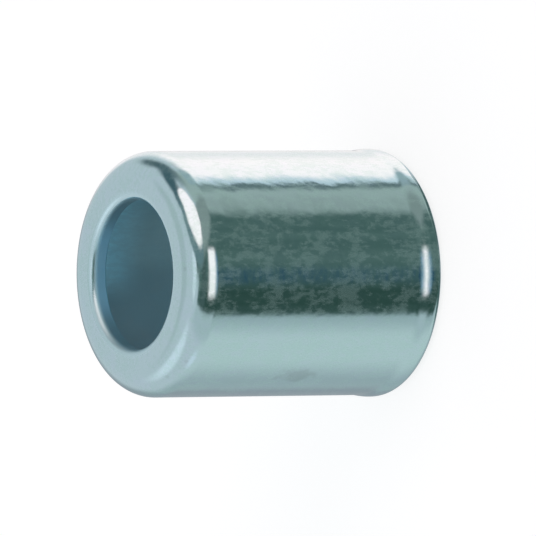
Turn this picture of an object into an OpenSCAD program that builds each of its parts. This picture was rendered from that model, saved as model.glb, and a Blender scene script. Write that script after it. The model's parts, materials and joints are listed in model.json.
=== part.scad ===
// Hose ferrule: a one-piece zinc-plated steel crimp sleeve.
// It stands on its open end, where the hose goes in. The lip, with the hole
// for the fitting's stem, is at the top. All sizes are in millimetres.

/* [Sleeve] */
// Inside diameter of the hose bore
hose_bore_d = 19.6; // [18:0.1:24]
// Wall thickness around the hose bore
wall = 2.2; // [1.8:0.1:3.5]
// Overall length, from the open end to the face of the lip
length = 28.5; // [20:0.5:45]
// Radius of the rounded shoulder between the side and the face of the lip
shoulder_r = 2.7; // [0.8:0.1:3.2]

/* [Lip] */
// Thickness of the lip
lip_t = 1.8; // [1.5:0.1:5]
// Diameter of the stem hole through the lip
stem_hole_d = 14.6; // [9:0.1:15.5]
// Radius on the outer edge of the stem hole
stem_edge_r = 0.8; // [0.2:0.05:1]
// Bevel on the inner edge of the stem hole
stem_bevel = 0.2; // [0.1:0.05:0.4]
// Radius in the corner between the lip and the hose bore
root_r = 1; // [0.3:0.1:1.5]

/* [Open end] */
// How far the flared rim of the open end stands out from the side
rim_rise = 0.17; // [0.05:0.01:0.4]
// Height of the rim, from the end face to where the flare begins to draw in
rim_h = 1.2; // [1.1:0.1:3]
// Radius of the two curves that lead smoothly from the rim to the side
flare_r = 4.3; // [2:0.1:8]
// Radius on the outer edge of the rim
rim_edge_r = 1; // [0.3:0.1:1.1]
// Lead-in bevel at the mouth of the hose bore
mouth_bevel = 0.4; // [0.1:0.05:0.8]

/* [Hidden] */
$fn = 96;

bore_r = hose_bore_d / 2;
side_r = bore_r + wall;
rim_r = side_r + rim_rise;
stem_r = stem_hole_d / 2;
lip_back_z = length - lip_t;

// Each curve of the flare turns through the same angle and takes half of the rise
flare_angle = acos(1 - rim_rise / (2 * flare_r));
flare_middle_z = rim_h + flare_r * sin(flare_angle);
flare_top_z = rim_h + 2 * flare_r * sin(flare_angle);

// How far cutting shapes reach past the surface that they cut
past = 1;

zinc = [0.64, 0.74, 0.76];

// What rounding takes off a square corner that points up and out from the origin
module corner_round_off(r) {
    difference() {
        translate([-r, -r]) square(r + past);
        translate([-r, -r]) circle(r);
    }
}

// A band of the half section, outside the given radius and between two heights
module outer_band(inner_r, low_z, high_z) {
    translate([inner_r, low_z]) square([rim_r + past - inner_r, high_z - low_z]);
}

// What lies between the side and a straight sleeve as wide as the rim
module side_off() {
    outer_band(side_r, flare_top_z, length + past);
    intersection() {
        outer_band(side_r, flare_middle_z, flare_top_z);
        translate([side_r + flare_r, flare_top_z]) circle(flare_r);
    }
    difference() {
        outer_band(side_r, rim_h, flare_middle_z);
        translate([rim_r - flare_r, rim_h]) circle(flare_r);
    }
}

// Half section of the outside, filled to the axis
module outside_section() {
    difference() {
        square([rim_r, length]);
        side_off();
        translate([side_r, length]) corner_round_off(shoulder_r);
        translate([rim_r, 0]) mirror([0, 1]) corner_round_off(rim_edge_r);
    }
}

// Half section of the hose bore, with its lead-in bevel and its rounded root
module hose_bore_section() {
    difference() {
        translate([0, -past]) square([bore_r, lip_back_z + past]);
        translate([bore_r, lip_back_z]) corner_round_off(root_r);
    }
    polygon([
        [0, -past],
        [bore_r + mouth_bevel + past, -past],
        [bore_r, mouth_bevel],
        [0, mouth_bevel]
    ]);
}

// Half section of the stem hole, flared by the radius on its outer edge
// and by the bevel on its inner edge
module stem_hole_section() {
    translate([0, lip_back_z - past]) square([stem_r, lip_t + 2 * past]);
    difference() {
        translate([stem_r, length - stem_edge_r]) square([stem_edge_r, stem_edge_r + past]);
        translate([stem_r + stem_edge_r, length - stem_edge_r]) circle(stem_edge_r);
    }
    polygon([
        [0, lip_back_z],
        [stem_r + stem_bevel, lip_back_z],
        [stem_r, lip_back_z + stem_bevel],
        [0, lip_back_z + stem_bevel]
    ]);
}

module ferrule() {
    color(zinc)
    rotate_extrude() {
        difference() {
            outside_section();
            hose_bore_section();
            stem_hole_section();
        }
    }
}

ferrule();
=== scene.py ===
import json
import math

import bpy
from mathutils import Matrix, Vector


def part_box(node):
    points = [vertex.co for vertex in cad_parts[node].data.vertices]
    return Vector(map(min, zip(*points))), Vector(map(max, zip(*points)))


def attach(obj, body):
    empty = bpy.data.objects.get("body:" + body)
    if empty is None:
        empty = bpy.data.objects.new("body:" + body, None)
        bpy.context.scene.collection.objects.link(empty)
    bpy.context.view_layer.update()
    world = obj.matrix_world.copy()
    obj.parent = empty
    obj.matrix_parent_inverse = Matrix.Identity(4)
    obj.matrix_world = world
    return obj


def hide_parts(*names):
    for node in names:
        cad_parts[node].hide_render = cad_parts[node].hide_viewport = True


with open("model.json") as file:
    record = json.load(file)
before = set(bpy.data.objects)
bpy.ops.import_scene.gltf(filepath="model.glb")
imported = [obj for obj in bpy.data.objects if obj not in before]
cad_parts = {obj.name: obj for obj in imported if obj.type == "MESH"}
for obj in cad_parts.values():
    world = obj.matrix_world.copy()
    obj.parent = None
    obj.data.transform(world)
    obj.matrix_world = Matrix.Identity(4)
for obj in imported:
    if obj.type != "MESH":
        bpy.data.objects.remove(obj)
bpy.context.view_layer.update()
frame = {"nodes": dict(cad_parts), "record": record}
scene = bpy.context.scene
scene.view_settings.view_transform = "Standard"
mm = 0.001
print("frame loaded:", sorted(frame["nodes"]))


# Small helpers for node trees

def addNode(tree, kind, **settings):
    node = tree.nodes.new(kind)
    for name, value in settings.items():
        setattr(node, name, value)
    return node


def feed(tree, socket, value):
    # joins an output to a socket, or sets the socket to a plain value
    if isinstance(value, bpy.types.NodeSocket):
        tree.links.new(value, socket)
    else:
        socket.default_value = value


def calc(tree, operation, first, second=0.0):
    node = addNode(tree, "ShaderNodeMath", operation=operation)
    feed(tree, node.inputs[0], first)
    feed(tree, node.inputs[1], second)
    return node.outputs[0]


def ramp(tree, value, fromLow, fromHigh, toLow=0.0, toHigh=1.0):
    # smooth step from toLow to toHigh
    node = addNode(tree, "ShaderNodeMapRange", interpolation_type="SMOOTHSTEP")
    for name, setting in (("Value", value), ("From Min", fromLow), ("From Max", fromHigh),
                          ("To Min", toLow), ("To Max", toHigh)):
        feed(tree, node.inputs[name], setting)
    return node.outputs["Result"]


def opaque(colour):
    return (*colour, 1.0)


def blendColour(tree, factor, first, second):
    # each colour is an output, or plain red, green and blue
    node = addNode(tree, "ShaderNodeMix", data_type="RGBA")
    feed(tree, node.inputs["Factor"], factor)
    for name, colour in (("A", first), ("B", second)):
        feed(tree, node.inputs[name], opaque(colour) if isinstance(colour, tuple) else colour)
    return node.outputs["Result"]


def noise(tree, vector, scale, detail=2.0, roughness=0.5):
    node = addNode(tree, "ShaderNodeTexNoise")
    feed(tree, node.inputs["Vector"], vector)
    for name, setting in (("Scale", scale), ("Detail", detail), ("Roughness", roughness)):
        node.inputs[name].default_value = setting
    return node.outputs["Fac"]


def stretched(tree, vector, shares):
    # multiplies a pattern's coordinates, so the pattern itself stretches where a share is small
    node = addNode(tree, "ShaderNodeVectorMath", operation="MULTIPLY")
    feed(tree, node.inputs[0], vector)
    node.inputs[1].default_value = shares
    return node.outputs[0]


def distanceFrom(tree, vector, point):
    node = addNode(tree, "ShaderNodeVectorMath", operation="DISTANCE")
    feed(tree, node.inputs[0], vector)
    node.inputs[1].default_value = point
    return node.outputs["Value"]


def bump(tree, height, distance, normal=None):
    node = addNode(tree, "ShaderNodeBump")
    node.inputs["Distance"].default_value = distance
    feed(tree, node.inputs["Height"], height)
    if normal is not None:
        feed(tree, node.inputs["Normal"], normal)
    return node.outputs["Normal"]


# The ferrule's own sizes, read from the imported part

low, high = (Vector(corner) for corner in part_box("ferrule"))
mounts = {mount["name"]: mount for mount in frame["record"]["mounts"]}


def radiusOf(name):
    return mounts[name]["dims"]["r_mm"] * mm


def wallSpan(name):
    # lowest and highest point of a round wall
    middle = mounts[name]["pos_m"][2]
    half = mounts[name]["dims"]["length_mm"] * mm / 2
    return middle - half, middle + half


ferruleLook = {
    "turns": 288,                  # faces around the axis
    "arcStep": math.radians(3.0),  # largest turn between two points of a rounded edge
    "flareRadius": 4.3 * mm,       # both curves of the flare towards the rim
    "rimEdgeRadius": 1.0 * mm,     # edge between the rim and the end face
    "stemBevel": 0.2 * mm,         # bevel on the inner edge of the stem hole
    "cornerBreak": 0.06 * mm,      # tiny rounding that plating leaves on turned corners
}
rimRadius = (high.x - low.x) / 2
sideRadius = radiusOf("crimp_surface")
boreRadius = radiusOf("hose_bore")
stemRadius = radiusOf("stem_hole")
topHeight = high.z


def ferruleCorners(look):
    # corners of the half section as (radius from the axis, height, rounding), going round it
    flareTop, shoulderStart = wallSpan("crimp_surface")
    mouthBevel, rootStart = wallSpan("hose_bore")
    stemLow, stemHigh = wallSpan("stem_hole")
    lipBack = stemLow - look["stemBevel"]
    flareRadius = look["flareRadius"]
    flareAngle = math.acos(1 - (rimRadius - sideRadius) / (2 * flareRadius))
    flareBottom = flareTop - 2 * flareRadius * math.sin(flareAngle)
    reach = flareRadius * math.tan(flareAngle / 2)
    tiny = look["cornerBreak"]
    return [
        (boreRadius + mouthBevel, low.z, tiny),
        (rimRadius, low.z, look["rimEdgeRadius"]),
        (rimRadius, flareBottom + reach, flareRadius),
        (sideRadius, flareTop - reach, flareRadius),
        (sideRadius, topHeight, topHeight - shoulderStart),
        (stemRadius, topHeight, topHeight - stemHigh),
        (stemRadius, stemLow, tiny),
        (stemRadius + look["stemBevel"], lipBack, tiny),
        (boreRadius, lipBack, lipBack - rootStart),
        (boreRadius, mouthBevel, tiny),
    ]


def roundedSection(corners, arcStep):
    # turns the corners into arcs, as a list of (point, outward normal) in the section plane
    places = [Vector(corner[:2]) for corner in corners]
    section = []
    for index, corner in enumerate(corners):
        here = places[index]
        arriving = (here - places[index - 1]).normalized()
        leaving = (places[(index + 1) % len(places)] - here).normalized()
        turn = math.atan2(arriving.x * leaving.y - arriving.y * leaving.x, arriving.dot(leaving))
        side = math.copysign(1.0, turn)
        radius = corner[2]
        begin = here - arriving * radius * math.tan(abs(turn) / 2)
        outward = Vector((arriving.y, -arriving.x))
        centre = begin - outward * radius * side
        steps = max(2, math.ceil(abs(turn) / arcStep))
        for step in range(steps + 1):
            normal = Matrix.Rotation(turn * step / steps, 2) @ outward
            section.append((centre + normal * radius * side, normal))
    return section


def unrollMap(mesh, section, turns):
    # a plain map: once around the axis from left to right, once around the section upwards
    count = len(section)
    travelled = [0.0]
    for index in range(count):
        step = section[(index + 1) % count][0] - section[index][0]
        travelled.append(travelled[-1] + step.length)
    unrolled = mesh.uv_layers.new(name="OFBake")
    for turn in range(turns):
        left, right = turn / turns, (turn + 1) / turns
        for index in range(count):
            lower, upper = (travelled[end] / travelled[-1] for end in (index, index + 1))
            first = (turn * count + index) * 4
            for corner, place in enumerate(((left, lower), (right, lower), (right, upper), (left, upper))):
                unrolled.data[first + corner].uv = place


def spinSection(name, section, turns):
    # spins a closed section around Z, with exact normals
    count = len(section)
    verts, normals = [], []
    for turn in range(turns):
        angle = 2 * math.pi * turn / turns
        across = Vector((math.cos(angle), math.sin(angle), 0.0))
        for point, normal in section:
            verts.append(across * point.x + Vector((0.0, 0.0, point.y)))
            normals.append(across * normal.x + Vector((0.0, 0.0, normal.y)))
    faces = []
    for turn in range(turns):
        here, there = turn * count, (turn + 1) % turns * count
        for index in range(count):
            after = (index + 1) % count
            faces.append((here + index, there + index, there + after, here + after))
    mesh = bpy.data.meshes.new(name)
    mesh.from_pydata(verts, [], faces)
    mesh.polygons.foreach_set("use_smooth", [True] * len(faces))
    mesh.normals_split_custom_set_from_vertices(normals)
    unrollMap(mesh, section, turns)
    piece = bpy.data.objects.new(name, mesh)
    scene.collection.objects.link(piece)
    return piece


section = roundedSection(ferruleCorners(ferruleLook), ferruleLook["arcStep"])
ferrule = spinSection("zincFerrule", section, ferruleLook["turns"])
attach(ferrule, "root")
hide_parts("ferrule")
print("ferrule turned:", len(ferrule.data.vertices), "points")


# Zinc plate. Its patterns and places are in millimetres: a scale counts spots for each millimetre,
# and a pair of places says where a change begins and where it is complete.

def platePlaces(tree):
    inMm = addNode(tree, "ShaderNodeVectorMath", operation="SCALE")
    feed(tree, inMm.inputs[0], addNode(tree, "ShaderNodeTexCoord").outputs["Object"])
    inMm.inputs["Scale"].default_value = 1 / mm
    spot = inMm.outputs[0]
    parts = addNode(tree, "ShaderNodeSeparateXYZ")
    feed(tree, parts.inputs[0], spot)
    return {
        "spot": spot,
        "x": parts.outputs["X"],
        "y": parts.outputs["Y"],
        "z": parts.outputs["Z"],
        "radius": distanceFrom(tree, stretched(tree, spot, (1.0, 1.0, 0.0)), (0.0, 0.0, 0.0)),
    }


def outFrom(tree, places, wall, fade):
    # one at a round wall, and nothing a little further out
    begin, end = (wall / mm + distance for distance in fade)
    return ramp(tree, places["radius"], begin, end, 1.0, 0.0)


def above(tree, places, depths):
    # nothing deep inside, and one towards the face of the lip, by the depth below that face
    begin, end = (topHeight / mm - depth for depth in depths)
    return ramp(tree, places["z"], begin, end)


reliefLook = {
    "waveScale": 0.38,            # slow waviness of the drawn tube
    "waveDetail": 1.5,
    "waveHeight": 0.070 * mm,
    "wornAround": 46.0,           # middle of the worn front, in degrees from +X towards -Y
    "wornReach": (36.0, 12.0),    # degrees to each side of it
    "calmShare": 0.10,            # how much of the waviness is left away from the worn front
    "turnedScale": 1.5,           # faint turning marks
    "turnedDetail": 1.0,
    "turnedStretch": (0.35, 0.35, 1.0),
    "turnedHeight": 0.005 * mm,
    "grainScale": 1.1,            # orange peel
    "grainHeight": 0.006 * mm,
}


def plateRelief(tree, places, look):
    around = math.radians(look["wornAround"])
    along = calc(tree, "MULTIPLY", places["x"], math.cos(around))
    across = calc(tree, "MULTIPLY", places["y"], -math.sin(around))
    facing = calc(tree, "DIVIDE", calc(tree, "ADD", along, across), places["radius"])
    begin, end = (math.cos(math.radians(angle)) for angle in look["wornReach"])
    worn = ramp(tree, facing, begin, end, look["calmShare"], 1.0)
    wave = noise(tree, places["spot"], look["waveScale"], look["waveDetail"])
    wave = calc(tree, "MULTIPLY", wave, worn)
    ringed = stretched(tree, places["spot"], look["turnedStretch"])
    turned = noise(tree, ringed, look["turnedScale"], look["turnedDetail"])
    grain = noise(tree, places["spot"], look["grainScale"])
    normal = bump(tree, wave, look["waveHeight"])
    normal = bump(tree, turned, look["turnedHeight"], normal)
    return bump(tree, grain, look["grainHeight"], normal)


filmLook = {
    "colour": (0.53, 0.72, 0.73),        # where the film is thickest
    "dullest": 0.915,                    # metal share left there
    "scale": 1.5,
    "detail": 3.0,
    "raggedness": 0.65,
    "blotchStretch": (1.0, 1.0, 0.75),
    "markStretch": (1.6, 1.6, 0.6),      # short marks from drawing the tube
    "patchScale": 0.33,                  # wide patches of thicker film
    "thickness": (1.32, 1.77),           # sum of the three where it begins, and where it is thickest
}


def filmMarks(tree, places, look, stretch):
    return noise(tree, stretched(tree, places["spot"], look[stretch]), look["scale"], look["detail"],
                 look["raggedness"])


def plateFilm(tree, places, look):
    # a dull film, thicker in blotches and along short marks
    film = calc(tree, "ADD", filmMarks(tree, places, look, "blotchStretch"),
                filmMarks(tree, places, look, "markStretch"))
    film = calc(tree, "ADD", film, noise(tree, places["spot"], look["patchScale"]))
    return ramp(tree, film, *look["thickness"])


# a real smudge on the side, and darker spots on the shoulder that are painted reflections
smudgeAndPaintedReflectionLook = {
    "colour": (0.42, 0.54, 0.55),
    "roughness": 0.12,                   # added to the plate's own
    "middle": (-9.9, -6.8, 13.8),
    "stretch": (1.0, 1.0, 0.55),         # longer along the axis
    "reach": (0.4, 1.5),                 # full to here, and gone here
    "strength": 0.6,
    "edgeScale": 1.1,                    # unevenness of its edge
    "edgeDetail": 3.0,
    "edgeDepth": 2.4,
    "spots": [                           # darker spots on the shoulder, painted as reflections, and their reach
        ((0.5, -9.95, 28.42), 0.35),
        ((-8.44, -8.01, 27.15), 0.32),
        ((-9.95, -5.29, 27.65), 0.32),
    ],
    "spotCore": 0.3,                     # share of that reach where a spot is full
    "spotStrength": 0.35,
}


def plateSmudgeAndPaintedReflection(tree, places, look):
    middle = tuple(value * share for value, share in zip(look["middle"], look["stretch"]))
    away = distanceFrom(tree, stretched(tree, places["spot"], look["stretch"]), middle)
    uneven = noise(tree, places["spot"], look["edgeScale"], look["edgeDetail"])
    uneven = calc(tree, "MULTIPLY", calc(tree, "SUBTRACT", uneven, 0.5), look["edgeDepth"])
    smudgeAndPaintedReflection = ramp(tree, calc(tree, "ADD", away, uneven), *look["reach"], look["strength"], 0.0)
    # darker spots on the shoulder: painted reflections
    for middle, reach in look["spots"]:
        away = distanceFrom(tree, places["spot"], middle)
        paintedReflection = ramp(tree, away, reach * look["spotCore"], reach, look["spotStrength"], 0.0)
        smudgeAndPaintedReflection = calc(tree, "MAXIMUM", smudgeAndPaintedReflection, paintedReflection)
    return smudgeAndPaintedReflection


boreLook = {
    # darker base colour of the bore, painted shade in the hollow; its duller plating is the roughness
    # below
    "colour": (0.40, 0.50, 0.51),
    "olive": (0.49, 0.61, 0.60),         # painted reflection, lighter towards +X
    "oliveAcross": (-0.5, 2.0),          # along X
    "blue": (0.65, 0.95, 1.0),           # painted reflection, towards +X too, and near the lip
    "blueAcross": (-3.0, 0.5),
    "blueDepth": (8.0, 2.5),             # below the face of the lip
    "film": 0.2,                         # how far short marks bring back the first colour
    "filmThickness": (0.4, 0.6),
    "deep": (0.60, 0.84, 0.97),          # painted reflection, further down, and towards -Y
    "deepDepth": (15.5, 11.0),
    "deepAcross": (1.0, 5.0),            # along Y
    "lipBlue": (0.49, 0.80, 0.93),       # painted reflection on the wall of the stem hole, in its middle
    "lipDark": (0.34, 0.52, 0.58),       # painted shade to both sides of it
    "lipMiddle": 0.5,                    # along X
    "lipAside": (2.5, 6.0),
    "lipFade": (0.4, 1.2),               # out from the stem hole
    "roughness": 0.55,
    "wallFade": (0.06, 0.3),             # out from the hose bore, where the outside begins
    "faceFade": (0.6, 0.2),              # below the face of the lip, where the outside begins too
}


def boreMask(tree, places, look):
    near = outFrom(tree, places, boreRadius, look["wallFade"])
    under = calc(tree, "SUBTRACT", 1.0, above(tree, places, look["faceFade"]))
    return calc(tree, "MULTIPLY", near, under)


# Colours inside the hose bore: painted shade in the hollow, and lighter, bluer or olive patches by place,
# painted as reflections
def boreColourWithPaintedLight(tree, places, look):
    olive = ramp(tree, places["x"], *look["oliveAcross"])
    colour = blendColour(tree, olive, look["colour"], look["olive"])
    blue = calc(tree, "MULTIPLY", above(tree, places, look["blueDepth"]),
                ramp(tree, places["x"], *look["blueAcross"]))
    colour = blendColour(tree, blue, colour, look["blue"])
    marks = filmMarks(tree, places, filmLook, "markStretch")
    film = ramp(tree, marks, *look["filmThickness"], 0.0, look["film"])
    colour = blendColour(tree, film, colour, look["colour"])
    shallow = calc(tree, "MULTIPLY", above(tree, places, look["deepDepth"]),
                   ramp(tree, places["y"], *look["deepAcross"]))
    colour = blendColour(tree, shallow, look["deep"], colour)
    # wall of the stem hole: painted reflection in its middle, painted shade to its sides
    aside = calc(tree, "ABSOLUTE", calc(tree, "SUBTRACT", places["x"], look["lipMiddle"]))
    lip = blendColour(tree, ramp(tree, aside, *look["lipAside"]), look["lipBlue"], look["lipDark"])
    return blendColour(tree, outFrom(tree, places, stemRadius, look["lipFade"]), colour, lip)


plateLook = {
    "colour": (0.55, 0.72, 0.75),
    "shiftedColour": (0.56, 0.715, 0.77),  # where the plate is a little thicker
    "shiftScale": 0.35,
    "shift": (0.35, 0.65),
    "roughness": (0.095, 0.15),            # clean, and where the film is thickest
    "specular": 0.1,
    "edgeColour": (0.60, 0.79, 0.83),      # lighter colour painted on the rounded edge of the stem hole as a highlight
    "edgeFade": (0.4, 1.0),                # out from the stem hole
    "edgeRoughness": (0.45, 0.2),          # towards -X, and elsewhere
    "edgeAcross": (-4.0, -1.0),            # along X
}


def zincPlate(look):
    material = bpy.data.materials.new("zincPlate")
    material.use_nodes = True
    tree = material.node_tree
    shader = tree.nodes["Principled BSDF"]
    places = platePlaces(tree)
    film = plateFilm(tree, places, filmLook)
    smudgeAndPaintedReflection = plateSmudgeAndPaintedReflection(tree, places, smudgeAndPaintedReflectionLook)
    edge = outFrom(tree, places, stemRadius, look["edgeFade"])
    inside = boreMask(tree, places, boreLook)

    shift = ramp(tree, noise(tree, places["spot"], look["shiftScale"]), *look["shift"])
    colour = blendColour(tree, shift, look["colour"], look["shiftedColour"])
    colour = blendColour(tree, film, colour, filmLook["colour"])
    # darkens the smudge, and the painted reflections on the shoulder
    colour = blendColour(tree, smudgeAndPaintedReflection, colour, smudgeAndPaintedReflectionLook["colour"])
    # painted highlight on the rounded edge of the stem hole
    colour = blendColour(tree, edge, colour, look["edgeColour"])
    # inside the bore the colour carries painted shade and painted reflections
    colour = blendColour(tree, inside, colour, boreColourWithPaintedLight(tree, places, boreLook))
    feed(tree, shader.inputs["Base Color"], colour)

    roughness = ramp(tree, film, 0.0, 1.0, *look["roughness"])
    roughness = calc(tree, "ADD", roughness, calc(tree, "MULTIPLY", smudgeAndPaintedReflection, smudgeAndPaintedReflectionLook["roughness"]))
    edgeRoughness = ramp(tree, places["x"], *look["edgeAcross"], *look["edgeRoughness"])
    roughness = ramp(tree, edge, 0.0, 1.0, roughness, edgeRoughness)
    roughness = ramp(tree, inside, 0.0, 1.0, roughness, boreLook["roughness"])
    feed(tree, shader.inputs["Roughness"], roughness)

    feed(tree, shader.inputs["Metallic"], ramp(tree, film, 0.0, 1.0, 1.0, filmLook["dullest"]))
    feed(tree, shader.inputs["Normal"], plateRelief(tree, places, reliefLook))
    shader.inputs["Specular IOR Level"].default_value = look["specular"]
    return material


ferrule.data.materials.append(zincPlate(plateLook))
print("zinc plate done")


# Studio: a pale tent with an opening at the front. Directions are in degrees: azimuth from the
# camera's side (-Y) towards +X, and elevation above the horizon. Each edge of a panel is given as
# (place, softness), and each round panel by its middle and its reach. Later panels cover earlier ones.

tentLook = {
    "colour": (0.665, 0.69, 0.72),
    "clutterScale": 10.0,           # dim things in the dark of the opening
    "clutterDetail": 3.0,
    "clutterStretch": (1.0, 1.0, 1.3),
    "clutterShare": (0.34, 0.68),
}
panels = [
    {"name": "low front of the tent", "colour": (0.67, 0.735, 0.72),
     "left": (-110, 15), "right": (0, 5), "bottom": (-100, 5), "top": (0, 15)},
    {"name": "shade by the opening", "colour": (0.465, 0.535, 0.54),
     "left": (-53, 12), "right": (0, 5), "bottom": (-100, 5), "top": (35, 20)},
    {"name": "shade under the ferrule", "colour": (0.445, 0.505, 0.515),
     "left": (-200, 5), "right": (-105, 20), "bottom": (-100, 5), "top": (-5, 12)},
    {"name": "deeper shade under it", "colour": (0.36, 0.39, 0.42),
     "left": (-200, 5), "right": (-140, 8), "bottom": (-100, 5), "top": (-5, 12)},
    {"name": "dark straight below", "colour": (0.085, 0.145, 0.13),
     "left": (-200, 5), "right": (200, 5), "bottom": (-100, 5), "top": (-68, 6)},
    {"name": "left seam", "colour": (0.55, 0.60, 0.60),
     "left": (-200, 5), "right": (-165, 10), "bottom": (40, 6), "top": (68, 6)},
    {"name": "right seam", "colour": (0.55, 0.60, 0.60),
     "left": (150, 10), "right": (200, 5), "bottom": (40, 6), "top": (68, 6)},
    {"name": "tent window", "colour": (0.90, 0.92, 0.97),
     "middle": (-113, 45), "reach": (30, 15), "lean": 0.35, "soft": 0.45},
    {"name": "small window", "colour": (0.80, 0.85, 0.90),
     "middle": (-82, 0), "reach": (9, 8), "lean": 0.0, "soft": 0.6},
    {"name": "bright edge over the opening", "colour": (0.90, 0.91, 0.95),
     "left": (-45, 10), "right": (45, 10), "bottom": (63.5, 3), "top": (80, 4)},
    {"name": "side wing", "colour": (0.465, 0.52, 0.485),
     "left": (40, 4), "right": (102, 5), "bottom": (-100, 5), "top": (14, 5)},
    {"name": "front opening", "colour": (0.085, 0.145, 0.13), "clutter": (0.125, 0.19, 0.17),
     "left": (-39, 3.5), "right": (60, 6.5), "bottom": (-86, 4), "top": (63.5, 3)},
    {"name": "dark edge of the opening", "colour": (0.035, 0.075, 0.06), "clutter": (0.055, 0.10, 0.085),
     "left": (-39, 3.5), "right": (-8, 12), "bottom": (-70, 10), "top": (45, 10)},
    {"name": "dark top of the opening", "colour": (0.08, 0.125, 0.115),
     "left": (-32, 4), "right": (22, 5), "bottom": (24, 5), "top": (42, 6)},
    {"name": "tent left of the opening", "colour": (0.55, 0.61, 0.62),
     "left": (-60, 10), "right": (-35.5, 3.5), "bottom": (-22, 7), "top": (62, 4)},
    {"name": "tent over the opening", "colour": (0.64, 0.68, 0.71),
     "left": (-60, 10), "right": (-2, 12), "bottom": (55, 4), "top": (66, 4)},
    {"name": "wing beside the opening", "colour": (0.31, 0.35, 0.325),
     "middle": (45, 10), "reach": (30, 28), "lean": -1.0, "soft": 0.25},
    {"name": "blue gloom", "colour": (0.03, 0.085, 0.13),
     "left": (-9, 4), "right": (5, 4), "bottom": (-32, 2), "top": (-25, 4)},
    {"name": "blue strip", "colour": (0.18, 0.32, 0.43),
     "left": (-17, 5), "right": (17, 5), "bottom": (-25, 4), "top": (-9, 6)},
    {"name": "front lamp", "colour": (1.52, 1.24, 1.21),
     "left": (-20, 2.5), "right": (21, 2.5), "bottom": (-16.5, 8), "top": (12, 6)},
    {"name": "softbox hood", "colour": (0.18, 0.26, 0.27),
     "middle": (60, 46), "reach": (53, 26), "lean": 0.0, "soft": 0.1},
    {"name": "upper softbox", "colour": (1.6, 1.27, 1.23),
     "middle": (62.5, 38), "reach": (36.5, 19.5), "lean": 0.0, "soft": 0.12},
    {"name": "bar of the softbox", "colour": (0.12, 0.17, 0.18),
     "left": (95, 16), "right": (143, 6), "bottom": (4, 6), "top": (21, 6)},
    {"name": "softbox stand", "colour": (0.08, 0.14, 0.16),
     "middle": (113, 29), "reach": (14, 22), "lean": -0.4, "soft": 0.5},
    {"name": "dark under the back softbox", "colour": (0.09, 0.14, 0.13),
     "left": (62, 6), "right": (162, 12), "bottom": (-80, 5), "top": (-49, 4)},
    {"name": "back softbox frame", "colour": (0.15, 0.20, 0.20),
     "left": (87, 4), "right": (120, 3), "bottom": (-44, 4), "top": (-8, 6)},
    {"name": "edge of the back softbox", "colour": (0.78, 0.84, 0.90),
     "left": (94, 2), "right": (175, 4), "bottom": (-40, 3), "top": (-12.5, 12)},
    {"name": "back softbox", "colour": (1.6, 1.27, 1.23),
     "left": (102, 6), "right": (175, 4), "bottom": (-40, 3), "top": (-12.5, 12)},
    {"name": "far end of the back softbox", "colour": (1.08, 0.99, 0.98),
     "left": (142, 14), "right": (175, 4), "bottom": (-40, 3), "top": (-12.5, 12)},
    {"name": "corner of the back softbox", "colour": (0.42, 0.50, 0.52),
     "left": (86, 4), "right": (105, 6), "bottom": (-25, 5), "top": (-3, 6)},
    {"name": "shade beside the back softbox", "colour": (0.36, 0.39, 0.42),
     "left": (173, 6), "right": (200, 5), "bottom": (-100, 5), "top": (-5, 12)},
]


def edgeMask(tree, azimuth, elevation, panel):
    strips = []
    for angle, start, end in ((azimuth, "left", "right"), (elevation, "bottom", "top")):
        place, soft = panel[start]
        rise = ramp(tree, angle, place - soft, place + soft)
        place, soft = panel[end]
        fall = ramp(tree, angle, place - soft, place + soft, 1.0, 0.0)
        strips.append(calc(tree, "MULTIPLY", rise, fall))
    return calc(tree, "MULTIPLY", *strips)


def roundMask(tree, azimuth, elevation, panel):
    # an oval, which rises by "lean" degrees for each degree of azimuth
    aside = calc(tree, "SUBTRACT", azimuth, panel["middle"][0])
    over = calc(tree, "SUBTRACT", elevation, panel["middle"][1])
    over = calc(tree, "SUBTRACT", over, calc(tree, "MULTIPLY", aside, panel["lean"]))
    aside = calc(tree, "POWER", calc(tree, "DIVIDE", aside, panel["reach"][0]), 2.0)
    over = calc(tree, "POWER", calc(tree, "DIVIDE", over, panel["reach"][1]), 2.0)
    away = calc(tree, "SQRT", calc(tree, "ADD", aside, over))
    return ramp(tree, away, 1 - panel["soft"], 1 + panel["soft"], 1.0, 0.0)


def studioWorld(look):
    world = bpy.data.worlds.new("studioTent")
    world.use_nodes = True
    tree = world.node_tree
    direction = addNode(tree, "ShaderNodeTexCoord").outputs["Generated"]
    parts = addNode(tree, "ShaderNodeSeparateXYZ")
    feed(tree, parts.inputs[0], direction)
    towardsCamera = calc(tree, "MULTIPLY", parts.outputs["Y"], -1.0)
    azimuth = calc(tree, "DEGREES", calc(tree, "ARCTAN2", parts.outputs["X"], towardsCamera))
    elevation = calc(tree, "DEGREES", calc(tree, "ARCSINE", parts.outputs["Z"]))
    clutter = stretched(tree, direction, look["clutterStretch"])
    clutter = noise(tree, clutter, look["clutterScale"], look["clutterDetail"])
    clutter = ramp(tree, clutter, *look["clutterShare"])
    colour = look["colour"]
    for panel in panels:
        shape = roundMask if "middle" in panel else edgeMask
        mask = shape(tree, azimuth, elevation, panel)
        shade = panel["colour"]
        if "clutter" in panel:
            shade = blendColour(tree, clutter, shade, panel["clutter"])
        colour = blendColour(tree, mask, colour, shade)
    feed(tree, tree.nodes["Background"].inputs["Color"], colour)
    scene.world = world


studioWorld(tentLook)

floorLook = {
    "reach": 1.2,
    "colour": (0.34, 0.34, 0.345),
    "roughness": 0.9,
    "specular": 0.1,
    "glowColour": (1.0, 1.0, 1.0),
    "glow": 0.79,
}


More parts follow.
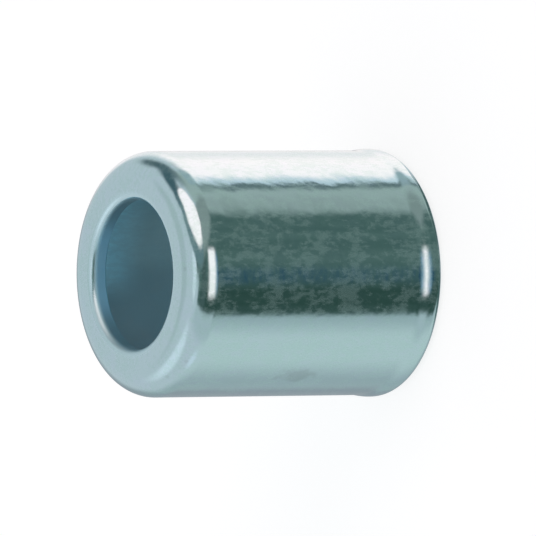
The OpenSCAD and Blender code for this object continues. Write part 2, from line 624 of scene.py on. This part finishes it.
def paleFloor(look):
    mesh = bpy.data.meshes.new("floor")
    reach = look["reach"]
    mesh.from_pydata([(-reach, -reach, 0), (reach, -reach, 0), (reach, reach, 0), (-reach, reach, 0)],
                     [], [(0, 1, 2, 3)])
    floor = bpy.data.objects.new("floor", mesh)
    scene.collection.objects.link(floor)
    material = bpy.data.materials.new("paleFloor")
    material.use_nodes = True
    shader = material.node_tree.nodes["Principled BSDF"]
    shader.inputs["Base Color"].default_value = opaque(look["colour"])
    shader.inputs["Roughness"].default_value = look["roughness"]
    shader.inputs["Specular IOR Level"].default_value = look["specular"]
    shader.inputs["Emission Color"].default_value = opaque(look["glowColour"])
    shader.inputs["Emission Strength"].default_value = look["glow"]
    mesh.materials.append(material)
    floor.visible_glossy = False  # the plate mirrors the tent all around, also from below


paleFloor(floorLook)
print("studio set")


# Camera: the photo shows the ferrule on its side, so the camera is turned a quarter turn about
# its own view line.

cameraLook = {
    "axisAngle": math.radians(57.88),  # between the view line and the ferrule's axis
    "lean": math.radians(0.41),        # how far the axis rises to the right in the picture
    "distance": 1.4,
    "nearest": 0.01,
    "furthest": 20.0,
    "pictureSide": 536.0,              # pixels
    "pixelsForDiameter": 245.6,        # of the straight side
    "axisMiddle": (254.67, 273.55),    # pixel where the middle of the axis shows
    "sensor": 36.0,
}


def photoCamera(look):
    tilt, lean = look["axisAngle"], look["lean"]
    towards = Vector((0.0, -math.sin(tilt), math.cos(tilt)))
    along = Vector((0.0, -math.cos(tilt), -math.sin(tilt)))
    aside = Vector((1.0, 0.0, 0.0))
    right = along * math.cos(lean) - aside * math.sin(lean)
    up = along * math.sin(lean) + aside * math.cos(lean)
    pixel = 2 * sideRadius / look["pixelsForDiameter"]
    half = look["pictureSide"] / 2
    middle = Vector((0.0, 0.0, (low.z + high.z) / 2))
    target = middle + right * (half - look["axisMiddle"][0]) * pixel
    target += up * (look["axisMiddle"][1] - half) * pixel
    data = bpy.data.cameras.new("photoCamera")
    data.sensor_width = look["sensor"]
    data.lens = look["sensor"] * look["distance"] / (look["pictureSide"] * pixel)
    data.clip_start = look["nearest"]
    data.clip_end = look["furthest"]
    camera = bpy.data.objects.new("photoCamera", data)
    turned = Matrix((right, up, towards)).transposed().to_4x4()
    camera.matrix_world = Matrix.Translation(target + towards * look["distance"]) @ turned
    scene.collection.objects.link(camera)
    scene.camera = camera


photoCamera(cameraLook)
print("camera set")
